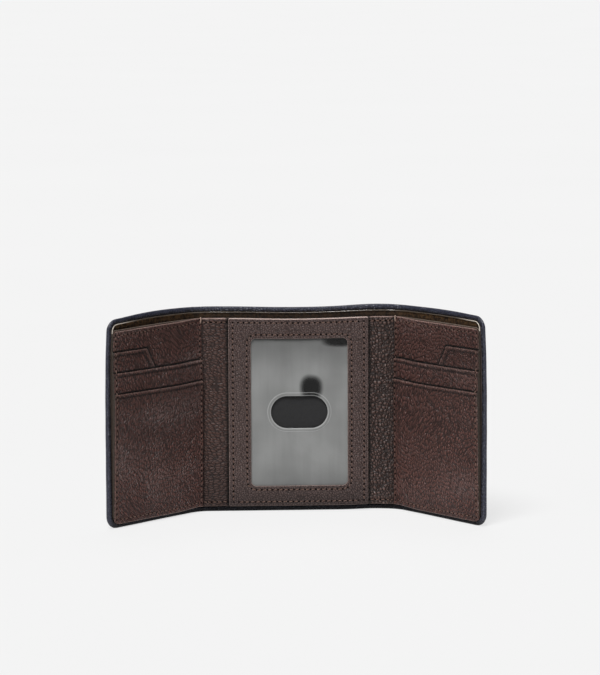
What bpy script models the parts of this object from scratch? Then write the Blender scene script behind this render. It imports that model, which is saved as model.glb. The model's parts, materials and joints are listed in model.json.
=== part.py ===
"""Trifold wallet that stands open on its lower edge.

Metres, +Z up. The wallet faces -Y. The origin is at the middle of the centre shell's lower edge.

Every sub-part is a thin sheet, so each is laid out flat in its own body's frame:
    u  distance sideways from the body's crease, away from the wallet's middle
    z  height above the lower edge
    n  depth, from the shell's inner face (0) towards the person who opens the wallet
The shell's leather lies at negative n, outside the creases, and everything else at positive n.
"""

import math

import bmesh
import bpy

# Overall size
HEIGHT = 0.1055
CENTRE_HALF = 0.0380        # from the middle to the crease between centre and spine
SPINE_WIDTH = 0.0132        # from that crease to the one between spine and flap
FLAP_WIDTH = 0.0662         # from that crease to the free edge
LEFT_FLAP_TURN = math.radians(45.5)     # how far each flap is folded in, from flat, as it stands
RIGHT_FLAP_TURN = math.radians(53.5)

# Shell: one leather with its edge turned over to the inside
SHELL_THICK = 0.0010
RIM_THICK = 0.0008
RIM_WIDTH = 0.0022
SHELL_CORNER = 0.0042
SHELL_EDGE_ROUND = 0.0004
CREASE_GAP = 0.00015        # from a crease to the shell's sheet on either side of it

# Depths of the layers: (near face, far face)
LINING_LAYER = (0.00025, 0.00050)
DIVIDER_LAYER = (0.00095, 0.00130)
GUSSET_LAYER = (0.00155, 0.00215)
BASE_LAYER = (0.00155, 0.00200)
TAB_LAYER = (0.00225, 0.00265)
MIDDLE_LAYER = (0.00290, 0.00330)
FRONT_LAYER = (0.00355, 0.00400)
BACKING_LAYER = (0.00155, 0.00185)
FILM_LAYER = (0.00230, 0.00250)
FRAME_LAYER = (0.00275, 0.00345)

# How far each layer stays from a crease, so that the layers clear each other when it is folded
RIM_SETBACK = 0.00110
LINING_SETBACK = 0.00080
DIVIDER_SETBACK = 0.00165
GUSSET_SETBACK = 0.00240
FLAP_PANEL_SETBACK = 0.00290

# Heights of the inside
PANEL_BOTTOM = 0.0029
PANEL_TOP = 0.0998
LINING_MARGIN = 0.0026      # from the shell's edge to the lining and to the divider
FLAP_PANEL_MARGIN = 0.0030  # from the shell's free edge to the flap's panels
PANEL_CORNER = 0.0018
PANEL_EDGE_ROUND = 0.00012

# Card pockets of a flap: heights of the openings, and the slanted side of the tab pocket
TAB_OPENING = 0.0890
MIDDLE_OPENING = 0.0785
FRONT_OPENING = 0.0679
TAB_POCKET_FOOT = 0.0060
MIDDLE_POCKET_FOOT = 0.0040
TAB_SLANT_TOP = 0.0415      # u where the tab's opening ends
TAB_SLANT_FOOT = 0.0352     # u where the slant goes behind the middle pocket

# Identity pocket
FRAME_HALF = 0.0356
BACKING_HALF = 0.0353
WINDOW_WIDTH = 0.0493
WINDOW_HEIGHT = 0.0761
WINDOW_CORNER = 0.0026
WINDOW_MIDDLE = (0.0004, 0.05135)
FILM_OVERLAP = 0.0035       # how far the film runs behind the frame, all round
THUMB_HOLE = (0.0289, 0.0166)
THUMB_RIM_WIDTH = 0.0017
THUMB_RIM_HEIGHT = 0.0002

# Seams: a thread lies on the leather, a little in from the panel's edge
THREAD_WIDTH = 0.0005
THREAD_THICK = 0.00025
THREAD_LIFT = 0.00025
SEAM_INSET = 0.0022
FLAP_SIDE_SEAM_INSET = 0.0012
WINDOW_SEAM_OFFSET = 0.0021

ARC_STEPS = 5               # straight steps in a quarter round
CUTTER_REACH = 0.0020       # how far a cutter runs past what it cuts


def clear_scene():
    for item in list(bpy.data.objects):
        bpy.data.objects.remove(item, do_unlink=True)


def make_material(name, colour, roughness, alpha=1.0):
    material = bpy.data.materials.new(name)
    material.use_nodes = True
    shader = material.node_tree.nodes["Principled BSDF"]
    shader.inputs["Base Color"].default_value = (*colour, 1.0)
    shader.inputs["Roughness"].default_value = roughness
    shader.inputs["Metallic"].default_value = 0.0
    shader.inputs["Alpha"].default_value = alpha
    return material


def make_frame(name, parent, offset, turn):
    """An empty on a crease. The pieces of the body beyond the crease are placed in it."""
    frame = bpy.data.objects.new(name, None)
    bpy.context.scene.collection.objects.link(frame)
    frame.parent = parent
    frame.location = (offset, 0.0, 0.0)
    frame.rotation_euler = (0.0, 0.0, turn)
    return frame


def rounded_rectangle(left, bottom, right, top, radius, round_left=True):
    """Outline points (u, z), anticlockwise. The left corners can stay square."""
    left_radius = radius if round_left else 0.0
    corners = (
        (right - radius, bottom + radius, radius, -math.pi / 2),
        (right - radius, top - radius, radius, 0.0),
        (left + left_radius, top - left_radius, left_radius, math.pi / 2),
        (left + left_radius, bottom + left_radius, left_radius, math.pi),
    )
    points = []
    for centre_u, centre_z, corner_radius, start in corners:
        steps = ARC_STEPS if corner_radius > 0 else 0
        for step in range(steps + 1):
            angle = start + (math.pi / 2) * step / ARC_STEPS
            points.append((centre_u + corner_radius * math.cos(angle),
                           centre_z + corner_radius * math.sin(angle)))
    return points


def extrude_outline(name, outline, layer, side=1):
    """A closed sheet with this (u, z) outline between the layer's two depths."""
    mesh = bpy.data.meshes.new(name)
    build = bmesh.new()
    near, far = layer
    base = [build.verts.new((side * u, -near, z)) for u, z in outline]
    face = build.faces.new(base)
    extruded = bmesh.ops.extrude_face_region(build, geom=[face])
    moved = [item for item in extruded["geom"] if isinstance(item, bmesh.types.BMVert)]
    bmesh.ops.translate(build, verts=moved, vec=(0.0, near - far, 0.0))
    bmesh.ops.recalc_face_normals(build, faces=build.faces)
    build.to_mesh(mesh)
    build.free()
    return mesh


def place(name, mesh, frame, material):
    piece = bpy.data.objects.new(name, mesh)
    piece.data.materials.append(material)
    piece.parent = frame
    bpy.context.scene.collection.objects.link(piece)
    return piece


def soften_edges(piece, width, segments):
    bevel = piece.modifiers.new("soft_edges", "BEVEL")
    bevel.width = width
    bevel.segments = segments
    bevel.limit_method = "ANGLE"
    bevel.angle_limit = math.radians(40)


def combine(piece, name, outline, layer, side, operation):
    """Cuts an extruded outline from the piece, or joins it on."""
    helper = place(name, extrude_outline(name, outline, layer, side), piece.parent,
                   piece.data.materials[0])
    helper.hide_render = True
    helper.display_type = "WIRE"
    boolean = piece.modifiers.new(name, "BOOLEAN")
    boolean.operation = operation
    boolean.solver = "EXACT"
    boolean.object = helper


def recess_outline(start, stop, stop_is_free):
    """The inside of the turned edge. At a crease the recess runs out over the full height."""
    low = RIM_WIDTH
    high = HEIGHT - RIM_WIDTH
    under = -CUTTER_REACH
    over = HEIGHT + CUTTER_REACH
    first = start + RIM_SETBACK
    points = [(start - CUTTER_REACH, under), (first, under), (first, low)]
    if stop_is_free:
        inner = rounded_rectangle(first, low, stop - RIM_WIDTH, high,
                                  SHELL_CORNER - RIM_WIDTH, round_left=False)
        points += inner[:2 * (ARC_STEPS + 1)]
    else:
        last = stop - RIM_SETBACK
        end = stop + CUTTER_REACH
        points += [(last, low), (last, under), (end, under), (end, over), (last, over), (last, high)]
    points += [(first, high), (first, over), (start - CUTTER_REACH, over)]
    return points


def shell_panel(name, frame, side, start, stop, material, stop_is_free=False):
    """One body's stretch of the shell: a sheet with its upper and lower edge turned over."""
    first = start + CREASE_GAP
    if stop_is_free:
        outline = rounded_rectangle(first, 0.0, stop, HEIGHT, SHELL_CORNER, round_left=False)
    else:
        last = stop - CREASE_GAP
        outline = [(first, 0.0), (last, 0.0), (last, HEIGHT), (first, HEIGHT)]
    mesh = extrude_outline(name, outline, (-SHELL_THICK, RIM_THICK), side)
    piece = place(name, mesh, frame, material)
    soften_edges(piece, SHELL_EDGE_ROUND, 2)
    recess = recess_outline(start, stop, stop_is_free)
    combine(piece, name + "_recess", recess, (0.0, RIM_THICK + CUTTER_REACH), side, "DIFFERENCE")
    return piece


def sheet(name, frame, side, span, heights, layer, material, corner=PANEL_CORNER):
    """A rectangular sheet with rounded corners and slightly softened edges."""
    outline = rounded_rectangle(span[0], heights[0], span[1], heights[1], corner)
    piece = place(name, extrude_outline(name, outline, layer, side), frame, material)
    soften_edges(piece, min(PANEL_EDGE_ROUND, (layer[1] - layer[0]) / 3), 1)
    return piece


def thread_strip(name, frame, side, span, heights, surface, material):
    """A straight seam's thread, lying just above the leather's face."""
    layer = (surface + THREAD_LIFT, surface + THREAD_LIFT + THREAD_THICK)
    outline = [(span[0], heights[0]), (span[1], heights[0]), (span[1], heights[1]), (span[0], heights[1])]
    return place(name, extrude_outline(name, outline, layer, side), frame, material)


def stepped_thread(name, frame, side, seam_u, steps, material):
    """A thread that runs down a flap over its pockets, one step for each pocket it crosses.

    steps lists (upper end of the stretch, surface depth) from the top of the seam down, and ends with
    the seam's lower end.
    """
    front = []
    back = []
    heights = [height for height, _ in steps]
    for index, (height, surface) in enumerate(steps[:-1]):
        # a step down the pockets is a step towards the reader, taken just above the pocket's opening
        upper = height if index == 0 else height + THREAD_LIFT + THREAD_THICK
        upper_back = height if index == 0 else height + THREAD_LIFT
        lower = heights[index + 1]
        last = index == len(steps) - 2
        near = surface + THREAD_LIFT
        far = near + THREAD_THICK
        front += [(upper, far), (lower if last else lower + THREAD_LIFT + THREAD_THICK, far)]
        back += [(upper_back, near), (lower if last else lower + THREAD_LIFT, near)]
    outline = front + back[::-1]
    mesh = bpy.data.meshes.new(name)
    build = bmesh.new()
    half = THREAD_WIDTH / 2
    base = [build.verts.new((side * (seam_u - half), -depth, height)) for height, depth in outline]
    face = build.faces.new(base)
    extruded = bmesh.ops.extrude_face_region(build, geom=[face])
    moved = [item for item in extruded["geom"] if isinstance(item, bmesh.types.BMVert)]
    bmesh.ops.translate(build, verts=moved, vec=(side * THREAD_WIDTH, 0.0, 0.0))
    bmesh.ops.recalc_face_normals(build, faces=build.faces)
    build.to_mesh(mesh)
    build.free()
    return place(name, mesh, frame, material)


def stadium(middle, size):
    """An outline with straight long sides and half-round ends."""
    width, height = size
    left = middle[0] - width / 2
    bottom = middle[1] - height / 2
    return rounded_rectangle(left, bottom, left + width, bottom + height, height / 2)


def grown(size, margin):
    return (size[0] + 2 * margin, size[1] + 2 * margin)


def window_outline(margin, corner):
    width, height = grown((WINDOW_WIDTH, WINDOW_HEIGHT), margin)
    left = WINDOW_MIDDLE[0] - width / 2
    bottom = WINDOW_MIDDLE[1] - height / 2
    return rounded_rectangle(left, bottom, left + width, bottom + height, corner)


def past(layer):
    """A cutter's depths for a layer."""
    return (layer[0] - CUTTER_REACH, layer[1] + CUTTER_REACH)


def centre_body(frame, skins):
    """The shell, lining and divider behind the identity pocket."""
    shell_panel("centre_shell", frame, 1, -CENTRE_HALF, CENTRE_HALF, skins["navy"])
    lining_half = CENTRE_HALF - LINING_SETBACK
    sheet("centre_lining", frame, 1, (-lining_half, lining_half),
          (LINING_MARGIN, HEIGHT - LINING_MARGIN), LINING_LAYER, skins["lining"], corner=0.0005)
    divider_half = CENTRE_HALF - DIVIDER_SETBACK
    sheet("centre_divider", frame, 1, (-divider_half, divider_half),
          (PANEL_BOTTOM, PANEL_TOP), DIVIDER_LAYER, skins["lining"], corner=0.0005)


def identity_pocket(frame, skins):
    """Backing, clear film with a thumb hole, and the leather frame with its window."""
    sheet("id_backing", frame, 1, (-BACKING_HALF, BACKING_HALF), (PANEL_BOTTOM, PANEL_TOP),
          BACKING_LAYER, skins["backing"])

    film_outline = window_outline(FILM_OVERLAP, PANEL_CORNER)
    film = place("id_window_film", extrude_outline("id_window_film", film_outline, FILM_LAYER),
                 frame, skins["film"])
    rim = stadium(WINDOW_MIDDLE, grown(THUMB_HOLE, THUMB_RIM_WIDTH))
    rim_layer = ((FILM_LAYER[0] + FILM_LAYER[1]) / 2, FILM_LAYER[1] + THUMB_RIM_HEIGHT)
    combine(film, "thumb_rim", rim, rim_layer, 1, "UNION")
    combine(film, "thumb_hole", stadium(WINDOW_MIDDLE, THUMB_HOLE), past(FILM_LAYER), 1, "DIFFERENCE")

    leather = sheet("id_frame", frame, 1, (-FRAME_HALF, FRAME_HALF), (PANEL_BOTTOM, PANEL_TOP),
                    FRAME_LAYER, skins["brown"])
    combine(leather, "window", window_outline(0.0, WINDOW_CORNER), past(FRAME_LAYER), 1, "DIFFERENCE")


def identity_seams(frame, skins):
    surface = FRAME_LAYER[1]
    half = THREAD_WIDTH / 2
    thread = skins["thread"]
    side_u = FRAME_HALF - SEAM_INSET
    top = PANEL_TOP - SEAM_INSET
    bottom = PANEL_BOTTOM + SEAM_INSET
    clear = half + THREAD_LIFT
    for name, u in (("id_left_seam_thread", -side_u), ("id_right_seam_thread", side_u)):
        thread_strip(name, frame, 1, (u - half, u + half), (bottom, top), surface, thread)
    for name, z in (("id_top_seam_thread", top), ("id_bottom_seam_thread", bottom)):
        span = (-side_u + half + clear, side_u - half - clear)
        thread_strip(name, frame, 1, span, (z - half, z + half), surface, thread)

    layer = (surface + THREAD_LIFT, surface + THREAD_LIFT + THREAD_THICK)
    outer = window_outline(WINDOW_SEAM_OFFSET + half, WINDOW_CORNER + WINDOW_SEAM_OFFSET)
    ring = place("id_window_seam_thread", extrude_outline("id_window_seam_thread", outer, layer),
                 frame, thread)
    inner = window_outline(WINDOW_SEAM_OFFSET - half, WINDOW_CORNER + WINDOW_SEAM_OFFSET)
    combine(ring, "window_seam_inside", inner, past(layer), 1, "DIFFERENCE")


def spine_body(label, frame, side, skins):
    """The strip between two creases: shell, lining and the pebbled gusset."""
    shell_panel(label + "_spine_shell", frame, side, 0.0, SPINE_WIDTH, skins["navy"])
    sheet(label + "_spine_lining", frame, side, (LINING_SETBACK, SPINE_WIDTH - LINING_SETBACK),
          (LINING_MARGIN, HEIGHT - LINING_MARGIN), LINING_LAYER, skins["lining"], corner=0.0005)
    sheet(label + "_gusset", frame, side, (GUSSET_SETBACK, SPINE_WIDTH - GUSSET_SETBACK),
          (PANEL_BOTTOM, PANEL_TOP), GUSSET_LAYER, skins["gusset"], corner=0.0005)


def tab_outline(last):
    """The tab pocket's outline: its opening is short and its inner side slants down to full width."""
    first = FLAP_PANEL_SETBACK
    slope = (TAB_SLANT_TOP - TAB_SLANT_FOOT) / (TAB_OPENING - MIDDLE_OPENING)
    shoulder = MIDDLE_OPENING - 0.0030
    shoulder_u = TAB_SLANT_FOOT - slope * (MIDDLE_OPENING - shoulder)
    return [(first, TAB_POCKET_FOOT), (last, TAB_POCKET_FOOT), (last, TAB_OPENING),
            (TAB_SLANT_TOP, TAB_OPENING), (shoulder_u, shoulder), (first, shoulder)]


def flap_body(label, frame, side, skins):
    """Shell, lining and divider of a flap, and its base panel with three card pockets."""
    shell_panel(label + "_flap_shell", frame, side, 0.0, FLAP_WIDTH, skins["navy"], stop_is_free=True)
    sheet(label + "_flap_lining", frame, side, (LINING_SETBACK, FLAP_WIDTH - LINING_MARGIN),
          (LINING_MARGIN, HEIGHT - LINING_MARGIN), LINING_LAYER, skins["lining"], corner=0.0005)
    last = FLAP_WIDTH - FLAP_PANEL_MARGIN
    sheet(label + "_flap_divider", frame, side, (DIVIDER_SETBACK, last),
          (PANEL_BOTTOM, PANEL_TOP), DIVIDER_LAYER, skins["lining"], corner=0.0005)

    span = (FLAP_PANEL_SETBACK, last)
    sheet(label + "_flap_base", frame, side, span, (PANEL_BOTTOM, PANEL_TOP), BASE_LAYER, skins["brown"])
    tab = place(label + "_tab_pocket", extrude_outline("tab", tab_outline(last), TAB_LAYER, side),
                frame, skins["brown"])
    soften_edges(tab, PANEL_EDGE_ROUND, 1)
    sheet(label + "_middle_pocket", frame, side, span, (MIDDLE_POCKET_FOOT, MIDDLE_OPENING),
          MIDDLE_LAYER, skins["brown"], corner=0.0006)
    sheet(label + "_front_pocket", frame, side, span, (PANEL_BOTTOM, FRONT_OPENING),
          FRONT_LAYER, skins["brown"], corner=0.0006)


def flap_seams(label, frame, side, skins):
    half = THREAD_WIDTH / 2
    thread = skins["thread"]
    inner_u = FLAP_PANEL_SETBACK + FLAP_SIDE_SEAM_INSET
    outer_u = FLAP_WIDTH - FLAP_PANEL_MARGIN - FLAP_SIDE_SEAM_INSET
    top = PANEL_TOP - SEAM_INSET
    bottom = PANEL_BOTTOM + SEAM_INSET
    clear = THREAD_WIDTH + THREAD_LIFT
    span = (inner_u + clear, outer_u - clear)
    thread_strip(label + "_top_seam_thread", frame, side, span, (top - half, top + half),
                 BASE_LAYER[1], thread)
    thread_strip(label + "_bottom_seam_thread", frame, side, span, (bottom - half, bottom + half),
                 FRONT_LAYER[1], thread)
    outer_steps = [(top, BASE_LAYER[1]), (TAB_OPENING, TAB_LAYER[1]), (MIDDLE_OPENING, MIDDLE_LAYER[1]),
                   (FRONT_OPENING, FRONT_LAYER[1]), (bottom, None)]
    stepped_thread(label + "_outer_seam_thread", frame, side, outer_u, outer_steps, thread)
    inner_steps = [(top, BASE_LAYER[1]), (MIDDLE_OPENING, MIDDLE_LAYER[1]),
                   (FRONT_OPENING, FRONT_LAYER[1]), (bottom, None)]
    stepped_thread(label + "_inner_seam_thread", frame, side, inner_u, inner_steps, thread)


def make_skins():
    return {
        "navy": make_material("navy_leather", (0.021, 0.022, 0.034), 0.42),
        "brown": make_material("brown_leather", (0.075, 0.046, 0.040), 0.50),
        "gusset": make_material("gusset_leather", (0.052, 0.038, 0.032), 0.55),
        "lining": make_material("lining", (0.022, 0.015, 0.010), 0.75),
        "backing": make_material("pocket_backing", (0.032, 0.032, 0.033), 0.60),
        "film": make_material("clear_film", (0.62, 0.64, 0.64), 0.12, alpha=0.45),
        "thread": make_material("brown_thread", (0.150, 0.090, 0.062), 0.70),
    }


def main():
    clear_scene()
    skins = make_skins()
    centre = make_frame("centre_frame", None, 0.0, 0.0)
    centre_body(centre, skins)
    identity_pocket(centre, skins)
    identity_seams(centre, skins)
    for label, side, turn in (("left", -1, LEFT_FLAP_TURN), ("right", 1, RIGHT_FLAP_TURN)):
        spine = make_frame(label + "_spine_crease", centre, side * CENTRE_HALF, 0.0)
        spine_body(label, spine, side, skins)
        flap = make_frame(label + "_flap_crease", spine, side * SPINE_WIDTH, -side * turn)
        flap_body(label, flap, side, skins)
        flap_seams(label, flap, side, skins)


main()
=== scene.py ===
"""Looks of the trifold wallet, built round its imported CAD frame.

Every leather, lining and film piece is a thin sheet. It is shaped flat and then folded into place:
    s  distance sideways along the unfolded wallet, 0 in the middle, positive to the right
    z  height above the lower edge
    n  depth, from the shell's inner face (0) towards the reader
Shaping functions take a = |s|, because the two halves are alike. All lengths are in metres.
"""
import json
import math

import bmesh
import bpy
import numpy as np
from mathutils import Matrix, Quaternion, Vector

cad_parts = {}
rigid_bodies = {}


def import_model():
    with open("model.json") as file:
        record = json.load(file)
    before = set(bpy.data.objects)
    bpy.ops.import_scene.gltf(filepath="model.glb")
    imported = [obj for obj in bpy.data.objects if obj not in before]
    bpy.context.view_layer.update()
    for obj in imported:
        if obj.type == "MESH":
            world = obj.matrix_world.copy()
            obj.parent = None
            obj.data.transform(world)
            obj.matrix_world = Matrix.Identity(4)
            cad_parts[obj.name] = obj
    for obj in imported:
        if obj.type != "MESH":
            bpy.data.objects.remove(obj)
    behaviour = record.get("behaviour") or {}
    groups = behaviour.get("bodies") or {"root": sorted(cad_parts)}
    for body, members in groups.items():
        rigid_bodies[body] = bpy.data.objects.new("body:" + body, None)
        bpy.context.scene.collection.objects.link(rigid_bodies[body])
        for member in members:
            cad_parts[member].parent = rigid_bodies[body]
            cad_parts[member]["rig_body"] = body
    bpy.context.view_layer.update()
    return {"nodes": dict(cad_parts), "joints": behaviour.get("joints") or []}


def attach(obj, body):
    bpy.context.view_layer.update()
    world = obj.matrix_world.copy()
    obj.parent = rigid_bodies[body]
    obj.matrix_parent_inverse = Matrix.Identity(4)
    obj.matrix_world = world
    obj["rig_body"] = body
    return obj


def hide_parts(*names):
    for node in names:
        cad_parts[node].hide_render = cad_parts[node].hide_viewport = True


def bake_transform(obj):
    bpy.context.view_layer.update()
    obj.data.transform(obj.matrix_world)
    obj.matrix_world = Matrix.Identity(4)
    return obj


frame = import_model()

# ---------------------------------------------------------------- measures taken from the frame

SIDES = (("left", -1), ("right", 1))
JOINTS = {joint["name"]: joint for joint in frame["joints"]}
CREASE_A = JOINTS["right_spine_fold"]["pos_m"][0]      # between the centre and a spine
CREASE_B = JOINTS["right_flap_fold"]["pos_m"][0]       # between a spine and its flap
# a flap lies flat at the lower limit of its fold
TURN = {side: math.radians(-JOINTS[label + "_flap_fold"]["range_deg"][0]) for label, side in SIDES}


def flat_box(node):
    """Lowest and highest (a, z, n) of a CAD node of the centre or of the right half, unfolded."""
    item = frame["nodes"][node]
    points = np.array([vertex.co for vertex in item.data.vertices])
    along, height, depth = points[:, 0], points[:, 2], -points[:, 1]
    if item["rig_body"] == "right_flap":
        out = along - CREASE_B
        cos_turn, sin_turn = math.cos(TURN[1]), math.sin(TURN[1])
        along = CREASE_B + out * cos_turn + depth * sin_turn
        depth = depth * cos_turn - out * sin_turn
    flat = np.stack([along, height, depth], axis=1)
    return flat.min(axis=0), flat.max(axis=0)


def layer(node):
    """Depths of a CAD sheet's back and front faces."""
    low, high = flat_box(node)
    return low[2], high[2]


FREE_EDGE, HEIGHT = flat_box("right_flap_shell")[1][:2]
SHELL_BACK, RIM_FRONT = layer("right_flap_shell")
LINING_LOW, LINING_HIGH = flat_box("right_flap_lining")
PANEL_LOW, PANEL_HIGH = flat_box("right_flap_base")
PANEL_BOTTOM, PANEL_TOP = PANEL_LOW[1], PANEL_HIGH[1]
FLAP_PANEL_END = PANEL_HIGH[0]
DIVIDER, GUSSET, BASE = (layer("right_" + part) for part in ("flap_divider", "gusset", "flap_base"))
POCKETS = [flat_box("right_" + part + "_pocket") for part in ("tab", "middle", "front")]
TAB, MIDDLE, FRONT = ((low[2], high[2]) for low, high in POCKETS)
TAB_OPENING, MIDDLE_OPENING, FRONT_OPENING = (high[1] for low, high in POCKETS)
TAB_FOOT, MIDDLE_FOOT = (low[1] for low, high in POCKETS[:2])
BACKING, ID_FRAME = layer("id_backing"), layer("id_frame")
FRAME_HALF = flat_box("id_frame")[1][0]
FILM_LOW, FILM_HIGH = flat_box("id_window_film")
FILM_BACK = FILM_LOW[2]

# ---------------------------------------------------------------- measures of the looks

BEND = 0.0060               # half the width over which the leather turns at the outer creases
FOLD_REACH = 0.0040         # half the width that bends when a joint moves
SPLIT = (CREASE_A + CREASE_B) / 2      # where sheets that cross both creases are parted
CENTRE_CUT = 0.0300         # where the centre's sheets end and the strips over the creases begin

SHELL_EDGE = 0.0009         # radius of the shell's outer edge
RIM_WIDTH = 0.0022          # the shell's turned edge
SHELL_CORNER = 0.0060
SHELL_BOW = 0.0022          # how far the shell stands off the panels at a flap's upper edge
CENTRE_SAG = 0.0008         # how far the upper edges dip in the middle
CREST_RISE = {-1: 0.0005, 1: 0.0003}   # how far that edge arches up over the middle of a flap
CREASE_RISE = {-1: 0.0, 1: 0.0006}     # and how far it arches up at the crease
CORNER_DROP = {-1: 0.0011, 1: 0.0003}  # how far a flap's free upper corner hangs
CORNER_LEAN = 0.0014        # and how far it leans in
PANEL_SINK = 0.0007         # how much lower than drawn the flaps' panels are sewn on at their free edge
POCKET_SETTLE = 0.0013      # the pockets thin out downwards, where fewer layers lie over each other
FOOT_RIM = 0.0009           # how much further the shell's edge is rolled in at a flap's lower corner
FOOT_LIFT = {-1: 0.0, 1: 0.0004}       # how far the lower edge arches up round the inner creases
LINING_EDGE = 0.00018

FLAP_PANEL_START = CREASE_B - 0.0012   # the card pockets reach just over the crease
GUSSET_START = 0.0322       # tucked under the identity frame
GUSSET_END = CREASE_B + 0.0014         # tucked under the flap's panels
GUSSET_TUCK = (CREASE_B - 0.0030, CREASE_B - 0.0010)
GUSSET_TUCK_DROP = 0.0007

PANEL_CORNER = 0.0030       # outer lower corner of the sewn panels
PANEL_TOP_CORNER = 0.0016
FRAME_CORNER = 0.0008
POCKET_TOP_CORNER = 0.0006
DIVIDER_CORNER = 0.0006
TAB_CORNER = 0.0008
LIT_EDGE = 0.0005           # how far the burnish and painted highlight of a cut edge reach over its face
MOUTH_GAP = 0.0014          # the dark line of painted shade where a pocket stands off what is behind it
SIDE_GAP = 1.6              # how much wider that line is beside the tab's slanted side
HEM = 0.0018                # from a pocket's mouth to the crease line of its turned edge
HEM_RISE = 0.00014
HEM_GROOVE = 0.00012
TAB_SLANT = 0.60            # sideways run of the tab's slanted side for each unit of height
TAB_TIP = CREASE_B + 0.0400

BINDING_GAP = 0.00004       # from the panels' sides to the leather that closes them
BINDING_WIDTH = 0.00048
BINDING_EDGE = 0.00018

WINDOW_HALF = (0.02465, 0.03805)
WINDOW_MIDDLE = (0.0004, 0.05135)
WINDOW_CORNER = 0.0026
HOLE_HALF = (0.01445, 0.0083)
HOLE_RIM = 0.0017
FRAME_WIDTH = 0.0109        # about the leather's width round the window
FILM_EDGE = 0.0001
FILM_WIDTH = 0.024          # about the way from the film's outline to the thumb hole
BACKING_HALF = 0.0318
BACKING_INSET = 0.0008
BACKING_EDGE = 0.00014
BACKING_CORNER = 0.001

PITCH = 0.00277             # from one needle hole to the next
THREAD_RADIUS = 0.00021
SEAM_INSET = 0.0022
FLAP_SEAM_START = FLAP_PANEL_START + 0.0012
FLAP_SEAM_END = FLAP_PANEL_END - 0.0012
SEAM_TOP = PANEL_TOP - SEAM_INSET
SEAM_BOTTOM = PANEL_BOTTOM + SEAM_INSET
FRAME_SEAM = FRAME_HALF - SEAM_INSET
WINDOW_SEAM = 0.0021        # from the window's edge to its seam
OUTSIDE_SEAM = 0.0041       # from the shell's edge to the seam on its outside
SEAM_DIP = 0.00013
SEAM_DIP_WIDTH = 0.0006
STITCH_SLANT = 0.00016
STITCH_RISE = 0.00020       # how much higher a stitch's middle lies than its ends
STITCH_SUNK = 0.00014
HOLE_RADIUS = 0.00052
SMALL_HOLE_RADIUS = 0.00034
WRAP_RADIUS = 0.00040
BEAD_RADIUS = 0.00028

# distances from an edge at which a sheet has rows: close enough to shape a hem
EDGE_ROWS = (0.0, 0.0002, 0.0005, 0.0009, 0.0013, 0.0016, 0.0018, 0.0020, 0.0023, 0.0028, 0.0035)
CELL = 0.0011               # size of a sheet's faces away from its edges
CLOSEST = 0.00009           # rows closer than this are left out
RIM_STEPS = 6
CORNER_STEPS = 8
LONG_STEPS = 70             # points on the long and on the short sides of a rounded loop
WIDE_STEPS = 46
STITCH_RINGS = 7
STITCH_SIDES = 8
HOLE_SIDES = 10


# ---------------------------------------------------------------- folding and shaping

def smooth_step(value, low, high):
    t = np.clip((value - low) / (high - low), 0.0, 1.0)
    return t * t * (3 - 2 * t)


def fold(flat):
    """Where flat points (s, z, n) stand at rest. Each outer crease is a smooth curve, not an edge."""
    s, z, n = flat.T
    side = np.where(s < 0, -1.0, 1.0)
    turn, crest, crease_rise, drop, foot_lift = (
        np.where(s < 0, measure[-1], measure[1])
        for measure in (TURN, CREST_RISE, CREASE_RISE, CORNER_DROP, FOOT_LIFT))
    a = np.abs(s)
    out = a - CREASE_B
    t = np.clip((out + BEND) / (2 * BEND), 0, 1)
    run, rise = (1 - t) + t * np.cos(turn), t * np.sin(turn)
    length = np.hypot(run, rise)
    run, rise = run / length, rise / length
    beyond = out - np.clip(out, -BEND, BEND)
    along = CREASE_B + BEND * (t ** 2 * np.cos(turn) - (1 - t) ** 2) + beyond * run
    depth = BEND * t ** 2 * np.sin(turn) + beyond * rise
    x = side * (along - n * rise)
    y = -(depth + n * run)
    up = np.clip(z / HEIGHT, 0, 1)
    sag = CENTRE_SAG * np.cos(np.clip(a / SPLIT, 0, 1) * math.pi / 2) ** 2 * up ** 2
    lift = foot_lift * np.exp(-((a - CREASE_A) / 0.009) ** 2) * (1 - up) ** 4
    free = smooth_step(a, CREASE_B, FREE_EDGE)
    x = x - side * CORNER_LEAN * free * up ** 5
    over_flap = np.clip((a - CREASE_B) / (FREE_EDGE - CREASE_B), 0, 1)
    arch = crest * np.sin(over_flap * math.pi) + crease_rise * np.exp(-((a - CREASE_A) / 0.014) ** 2)
    on_panels = (n > DIVIDER[1]) & (shell_inset(a, z) > RIM_WIDTH)
    sink = PANEL_SINK * smooth_step(a, CREASE_B, CREASE_B + 0.02) * on_panels
    height = z - sag + lift - sink - drop * free ** 2 * up ** 12 + arch * up ** 24
    return np.stack([x, y, height], axis=1)


def ripple(a, z, size, seed):
    """Slow unevenness of hand-cut leather."""
    first = np.sin(a * 2 * math.pi / 0.031 + seed * 1.7) * np.sin(z * 2 * math.pi / 0.043 + seed * 2.3)
    second = np.sin((a + z) * 2 * math.pi / 0.019 + seed * 0.9)
    return size * (0.65 * first + 0.35 * second)


def shell_inset(a, z):
    """Distance inward from the shell's outline."""
    side_gap = a - (FREE_EDGE - SHELL_CORNER)
    end_gap = np.abs(z - HEIGHT / 2) - (HEIGHT / 2 - SHELL_CORNER)
    outside = np.hypot(np.maximum(side_gap, 0), np.maximum(end_gap, 0))
    return SHELL_CORNER - outside - np.minimum(np.maximum(side_gap, end_gap), 0)


def shell_bow(a, z):
    """How far the shell and its lining stand off the panels: the empty note compartment's mouth."""
    over_flap = np.clip((a - CREASE_B) / (FREE_EDGE - 0.003 - CREASE_B), 0, 1)
    over_centre = np.clip(a / CREASE_A, 0, 1)
    opening = SHELL_BOW * np.sin(over_flap * math.pi) + 0.0007 * np.cos(over_centre * math.pi / 2)
    return opening * np.clip(z / HEIGHT, 0, 1) ** 4


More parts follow.
